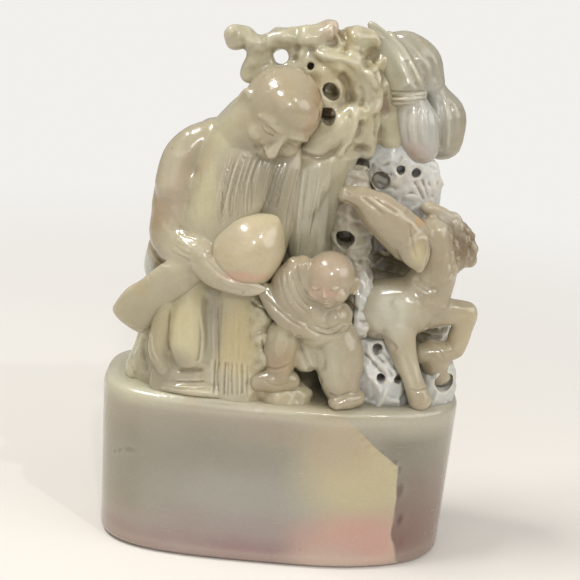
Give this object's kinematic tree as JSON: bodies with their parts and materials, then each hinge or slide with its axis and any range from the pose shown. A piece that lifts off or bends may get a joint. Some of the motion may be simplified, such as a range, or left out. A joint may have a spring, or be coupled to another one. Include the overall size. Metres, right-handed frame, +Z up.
{
  "type": "seal stamp",
  "caption": "Soft-stone seal stamp: a plain polished oval block, its handle carved in the round as an elder with a peach, a boy, a deer, a pine and gourds on pierced rocks.",
  "frame": {"origin": "centre of the seal face, which the stamp stands on", "axes": "+Z up through the carved handle, -Y towards the front that shows the figures, +X to the viewer's right"},
  "size_m": [0.0732, 0.0352, 0.1059],
  "materials": {
    "celadon": "waxed and polished, grey-green",
    "cream": "waxed and polished, cream-yellow",
    "honey": "waxed and polished, honey-beige",
    "chalk": "semi-matt, chalky white",
    "flesh": "waxed and polished, warm pink-beige",
    "smoke": "satin, smoke-grey"
  },
  "bodies": {
    "root": {"seal_block": "celadon", "elder_hand": "flesh", "peach": "flesh", "elder_head": "flesh", "elder_beard": "cream", "elder_near_arm": "honey", "elder_sleeve_fall": "cream", "elder_sleeve_lining": "chalk", "elder_far_sleeve": "smoke", "elder_shoe": "celadon", "elder_sash": "cream", "elder_torso": "cream", "elder_neck": "cream", "elder_skirt": "cream", "boy_head": "flesh", "boy_raised_arm": "flesh", "boy_cuff": "honey", "boy_standing_foot": "celadon", "boy_bent_foot": "honey", "boy_jacket": "honey", "boy_bent_leg": "honey", "boy_standing_leg": "honey", "deer_ear": "honey", "deer_head": "honey", "deer_standing_leg": "cream", "deer_raised_leg": "cream", "deer_antler": "chalk", "deer_body": "honey", "gourd_tie": "celadon", "gourd_front_lower": "chalk", "gourd_front_upper": "celadon", "gourd_back_upper": "celadon", "gourd_back_lower": "celadon", "pine_bough": "cream", "pine_crown_left": "cream", "pine_crown_right": "cream", "pine_trunk": "celadon", "pine_stem": "celadon", "pine_spur": "smoke", "rock_knobs": "cream", "rock_step": "cream", "rock_upper": "chalk", "rock_middle": "smoke", "rock_lower": "chalk", "rock_corner": "celadon", "rock_back_low": "smoke", "rock_back_middle": "smoke", "rock_back_high": "smoke", "rock_back_left": "smoke"}
  },
  "joints": []
}
